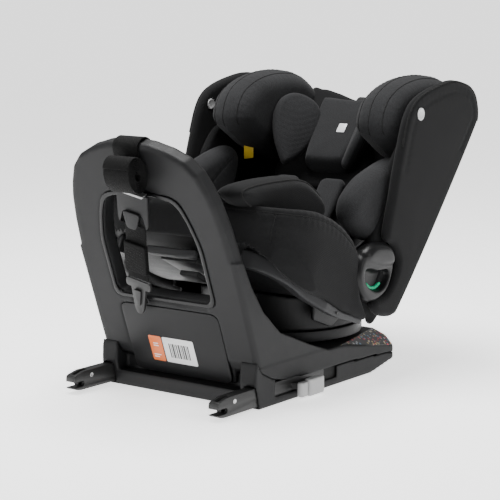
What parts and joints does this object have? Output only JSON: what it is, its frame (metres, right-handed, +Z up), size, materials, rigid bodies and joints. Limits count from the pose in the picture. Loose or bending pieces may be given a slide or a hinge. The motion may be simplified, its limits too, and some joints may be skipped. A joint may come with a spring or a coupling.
{
  "type": "convertible child car seat",
  "caption": "Rotating, reclining child car seat with padded shell and headrest on a base with retractable anchor arms, rebound panel and top tether.",
  "frame": {"origin": "turning axis of the seat, at the plane the base stands on", "axes": "+Z up along the turning axis, -Y towards the vehicle's backrest where the anchor arms and panel are, +X to the side"},
  "size_m": [0.434, 0.6955, 0.4761],
  "materials": {
    "base_plastic": "satin",
    "trim_plastic": "satin",
    "grey_plastic": "satin",
    "light_plastic": "satin",
    "red_plastic": "gloss",
    "dark_steel": "satin",
    "webbing": "woven",
    "dark_fabric": "knitted",
    "grey_fabric": "melange knit"
  },
  "bodies": {
    "base": {"base_tray": "base_plastic", "base_shell": "base_plastic", "rear_cover": "base_plastic", "opening_bezel": "trim_plastic", "bearing_ring": "dark_steel", "tether_strap_upper": "webbing", "tether_roll": "webbing", "tether_adjuster": "dark_steel", "tether_strap_lower": "webbing", "tether_hook": "dark_steel"},
    "adjuster_lever": {"adjuster_lever": "grey_plastic"},
    "hook_gate": {"hook_gate": "dark_steel"},
    "turntable": {"turntable": "trim_plastic", "cradle_rail_left": "dark_steel", "cradle_rail_right": "dark_steel"},
    "shell": {"seat_pan": "trim_plastic", "back_cover": "trim_plastic", "seat_front": "dark_fabric", "seat_cushion": "grey_fabric", "back_cushion": "grey_fabric", "crotch_pad": "dark_fabric", "buckle_body": "trim_plastic", "adjuster_housing": "trim_plastic", "handle_guide": "trim_plastic", "seat_side_left": "dark_fabric", "seat_side_right": "dark_fabric", "shell_edge_left": "grey_plastic", "shell_edge_right": "grey_plastic", "wing_left": "dark_fabric", "wing_right": "dark_fabric", "belt_guide_left": "grey_plastic", "belt_guide_right": "grey_plastic", "thigh_bolster_left": "dark_fabric", "thigh_bolster_right": "dark_fabric", "torso_bolster_left": "grey_fabric", "torso_bolster_right": "grey_fabric", "shoulder_pad_left": "grey_fabric", "shoulder_pad_right": "grey_fabric", "hip_strap_left": "webbing", "hip_strap_right": "webbing"},
    "buckle_button": {"buckle_button": "red_plastic"},
    "harness_button": {"adjuster_button": "grey_plastic"},
    "recline_handle": {"recline_handle": "grey_plastic"},
    "swivel_lever": {"swivel_lever": "grey_plastic"},
    "headrest": {"headrest_frame": "trim_plastic", "headrest_centre": "grey_fabric", "headrest_wing_left": "dark_fabric", "headrest_wing_right": "dark_fabric", "headrest_insert_left": "grey_fabric", "headrest_insert_right": "grey_fabric"},
    "headrest_handle": {"headrest_handle": "trim_plastic"},
    "isofix_left": {"isofix_arm_left": "dark_steel", "isofix_grip_left": "light_plastic"},
    "trigger_left": {"isofix_trigger_left": "light_plastic"},
    "latch_left": {"isofix_latch_left": "dark_steel"},
    "isofix_right": {"isofix_arm_right": "dark_steel", "isofix_grip_right": "light_plastic"},
    "trigger_right": {"isofix_trigger_right": "light_plastic"},
    "latch_right": {"isofix_latch_right": "dark_steel"}
  },
  "joints": [
    {"name": "seat_spin", "type": "hinge", "parent": "base", "child": "turntable", "pos_m": [0, 0, 0.07], "axis": [0, 0, 1], "continuous": true},
    {"name": "recline", "type": "hinge", "parent": "turntable", "child": "shell", "pos_m": [0, -0.054, 0.377], "axis": [1, 0, 0], "range_deg": [0, 20]},
    {"name": "headrest_height", "type": "slide", "parent": "shell", "child": "headrest", "axis": [0, 0.6428, 0.766], "range_m": [0, 0.11]},
    {"name": "headrest_release", "type": "slide", "parent": "headrest", "child": "headrest_handle", "axis": [0, 0.6428, 0.766], "range_m": [0, 0.007], "stiffness_N_per_m": 300},
    {"name": "recline_release", "type": "slide", "parent": "shell", "child": "recline_handle", "axis": [0, -0.887, 0.4617], "range_m": [0, 0.011], "stiffness_N_per_m": 300},
    {"name": "swivel_release", "type": "hinge", "parent": "shell", "child": "swivel_lever", "pos_m": [0, -0.21578, 0.17514], "axis": [1, 0, 0], "range_deg": [0, 14], "stiffness_Nm_per_rad": 0.6},
    {"name": "buckle_release", "type": "slide", "parent": "shell", "child": "buckle_button", "axis": [0, 0.9636, -0.2672], "range_m": [0, 0.004], "stiffness_N_per_m": 500},
    {"name": "harness_release", "type": "slide", "parent": "shell", "child": "harness_button", "axis": [0, -0.8241, -0.5664], "range_m": [0, 0.002], "stiffness_N_per_m": 500},
    {"name": "tether_release", "type": "hinge", "parent": "base", "child": "adjuster_lever", "pos_m": [-0.00345, -0.3672, 0.2944], "axis": [-0.9744, -0.0762, 0.2117], "range_deg": [0, 25], "stiffness_Nm_per_rad": 0.08},
    {"name": "tether_gate", "type": "hinge", "parent": "base", "child": "hook_gate", "pos_m": [-0.03495, -0.3182, 0.1671], "axis": [-0.9744, -0.0762, 0.2117], "range_deg": [0, 17], "stiffness_Nm_per_rad": 0.05},
    {"name": "isofix_reach_left", "type": "slide", "parent": "base", "child": "isofix_left", "axis": [0, 1, 0], "range_m": [-0.04, 0.06]},
    {"name": "isofix_release_left", "type": "slide", "parent": "isofix_left", "child": "trigger_left", "axis": [0, -1, 0], "range_m": [0, 0.008], "stiffness_N_per_m": 400},
    {"name": "isofix_latch_left", "type": "hinge", "parent": "isofix_left", "child": "latch_left", "pos_m": [-0.14, -0.33, 0.025], "axis": [-1, 0, 0], "range_deg": [0, 38]},
    {"name": "isofix_reach_right", "type": "slide", "parent": "base", "child": "isofix_right", "axis": [0, 1, 0], "range_m": [-0.04, 0.06]},
    {"name": "isofix_release_right", "type": "slide", "parent": "isofix_right", "child": "trigger_right", "axis": [0, -1, 0], "range_m": [0, 0.008], "stiffness_N_per_m": 400},
    {"name": "isofix_latch_right", "type": "hinge", "parent": "isofix_right", "child": "latch_right", "pos_m": [0.14, -0.33, 0.025], "axis": [-1, 0, 0], "range_deg": [0, 38]}
  ],
  "couplings": [
    {"joint": "isofix_latch_left", "follows": "isofix_release_left", "rad_per_m": 82},
    {"joint": "isofix_latch_right", "follows": "isofix_release_right", "rad_per_m": 82}
  ]
}
